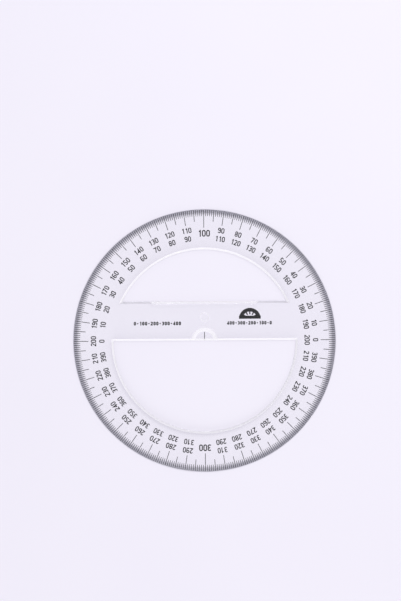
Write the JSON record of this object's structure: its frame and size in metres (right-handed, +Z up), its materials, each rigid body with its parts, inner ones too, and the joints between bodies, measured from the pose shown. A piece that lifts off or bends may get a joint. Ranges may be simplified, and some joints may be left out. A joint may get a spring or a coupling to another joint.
{
  "type": "full circle protractor",
  "caption": "Clear plastic full-circle protractor divided into grads, with a bevelled rim, a bar on the base line, two open windows and black print in the underside.",
  "frame": {"origin": "centre of the graduation, on the base line, on the underside", "axes": "+X to 0 of the outer scale, +Y to the 100 that both scales share, +Z up through the plate to the reader"},
  "size_m": [0.15, 0.15, 0.002],
  "materials": {
    "clear_plastic": "clear polished polystyrene",
    "black_ink": "matt black printing ink"
  },
  "bodies": {
    "root": {"plate": "clear_plastic", "one_grad_ticks": "black_ink", "five_grad_ticks": "black_ink", "ten_grad_ticks": "black_ink", "hundred_grad_ticks": "black_ink", "outer_figures": "black_ink", "inner_figures": "black_ink", "shared_figures": "black_ink", "centre_line": "black_ink", "left_legend": "black_ink", "right_legend": "black_ink", "emblem": "black_ink"}
  },
  "joints": []
}
